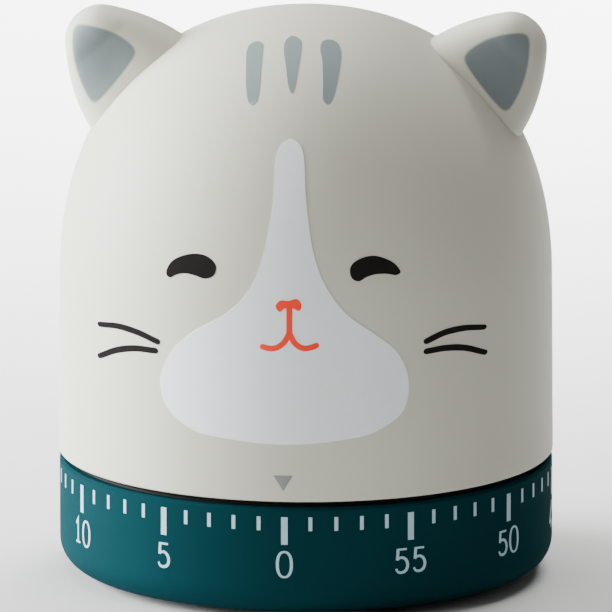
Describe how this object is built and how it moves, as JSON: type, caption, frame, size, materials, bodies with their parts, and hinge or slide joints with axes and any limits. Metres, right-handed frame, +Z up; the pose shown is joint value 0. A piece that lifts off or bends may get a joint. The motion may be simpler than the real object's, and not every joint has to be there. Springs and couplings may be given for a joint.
{
  "type": "kitchen timer",
  "caption": "Mechanical sixty-minute kitchen timer with a turning cat's head on a round numbered base, and its spring movement, bell and hammer.",
  "frame": {"origin": "on the surface that the timer stands on, under the axis that the head turns about", "axes": "+Z up along the turning axis, the face and the zero mark look along -Y, +X to the viewer's right"},
  "size_m": [0.0652, 0.0652, 0.0754],
  "materials": {
    "shell_grey": "soft-touch warm light grey with printed face",
    "ring_green": "satin dark teal with printed minute scale",
    "black_plastic": "matte black",
    "rubber": "matte",
    "steel": "zinc plated",
    "brass": "plain",
    "spring_steel": "blued",
    "nickel": "nickel plated",
    "hub_white": "natural white",
    "felt": "felt"
  },
  "bodies": {
    "base": {"base_cup": "ring_green", "glide_ring": "black_plastic", "rubber_foot_1": "rubber", "rubber_foot_2": "rubber", "rubber_foot_3": "rubber", "case_screw_1": "steel", "case_screw_2": "steel", "case_screw_3": "steel", "bell_screw": "steel", "lower_plate": "steel", "upper_plate": "steel", "pillar_1": "steel", "pillar_2": "steel", "pillar_3": "steel", "stop_post": "steel", "release_pivot": "steel", "pillar_nut_1": "brass", "pillar_nut_2": "brass", "pillar_nut_3": "brass", "mainspring": "spring_steel", "bell": "nickel", "bell_washer": "felt"},
    "head": {"head_shell": "shell_grey", "left_ear": "shell_grey", "right_ear": "shell_grey", "hub_plate": "hub_white", "hub_screw_1": "steel", "hub_screw_2": "steel", "hub_screw_3": "steel", "main_arbor": "steel", "ratchet_wheel": "steel", "zero_cam": "brass", "stop_arm": "steel"},
    "going_wheel": {"main_wheel": "brass", "click_rivet": "steel", "click_spring": "spring_steel"},
    "click": {"click": "steel"},
    "second": {"second_arbor": "steel", "second_wheel": "brass"},
    "third": {"third_arbor": "steel", "third_wheel": "brass"},
    "escape": {"escape_arbor": "steel", "escape_wheel": "brass"},
    "alarm": {"alarm_arbor": "steel", "alarm_wheel": "brass"},
    "striker": {"striker_arbor": "steel", "star_wheel": "brass"},
    "pallet": {"pallet_staff": "steel", "pallet_lever": "steel", "balance_weight": "brass"},
    "hammer": {"hammer_staff": "steel", "hammer_arm": "spring_steel", "hammer_pallet": "steel", "hammer_head": "brass"},
    "release": {"release_lever": "steel"}
  },
  "joints": [
    {"name": "head_turn", "type": "hinge", "parent": "base", "child": "head", "pos_m": [0, 0, 0], "axis": [0, 0, -1], "range_deg": [0, 346], "deforming": ["mainspring"]},
    {"name": "main_wheel_turn", "type": "hinge", "parent": "base", "child": "going_wheel", "pos_m": [0, 0, 0], "axis": [0, 0, -1], "range_deg": [0, 346]},
    {"name": "second_turn", "type": "hinge", "parent": "base", "child": "second", "pos_m": [-0.01348, -0.00491, 0], "axis": [0, 0, -1], "range_deg": [-2768, 0]},
    {"name": "third_turn", "type": "hinge", "parent": "base", "child": "third", "pos_m": [-0.00761, -0.01402, 0], "axis": [0, 0, -1], "range_deg": [0, 20760]},
    {"name": "escape_turn", "type": "hinge", "parent": "base", "child": "escape", "pos_m": [-0.00036, -0.01923, 0], "axis": [0, 0, -1], "range_deg": [-124560, 0]},
    {"name": "alarm_turn", "type": "hinge", "parent": "base", "child": "alarm", "pos_m": [-0.00491, 0.01348, 0], "axis": [0, 0, -1], "range_deg": [-2768, 0]},
    {"name": "striker_turn", "type": "hinge", "parent": "base", "child": "striker", "pos_m": [0.00227, 0.0188, 0], "axis": [0, 0, -1], "range_deg": [0, 16608]},
    {"name": "click_lift", "type": "hinge", "parent": "going_wheel", "child": "click", "pos_m": [0.009, 0, 0], "axis": [0, 0, -1], "range_deg": [0, 12], "stiffness_Nm_per_rad": 0.0005},
    {"name": "pallet_rock", "type": "hinge", "parent": "base", "child": "pallet", "pos_m": [0.00741, -0.02115, 0], "axis": [0, 0, -1], "range_deg": [-6, 6]},
    {"name": "hammer_swing", "type": "hinge", "parent": "base", "child": "hammer", "pos_m": [0.01052, 0.01979, 0], "axis": [0, 0, -1], "range_deg": [-3, 5.5]},
    {"name": "release_lever_swing", "type": "hinge", "parent": "base", "child": "release", "pos_m": [0.01674, -0.00295, 0], "axis": [0, 0, -1], "range_deg": [0, 6]}
  ],
  "couplings": [
    {"joint": "main_wheel_turn", "follows": "head_turn", "ratio": 1},
    {"joint": "second_turn", "follows": "head_turn", "ratio": -8},
    {"joint": "third_turn", "follows": "head_turn", "ratio": 60},
    {"joint": "escape_turn", "follows": "head_turn", "ratio": -360},
    {"joint": "alarm_turn", "follows": "head_turn", "ratio": -8},
    {"joint": "striker_turn", "follows": "head_turn", "ratio": 48}
  ]
}
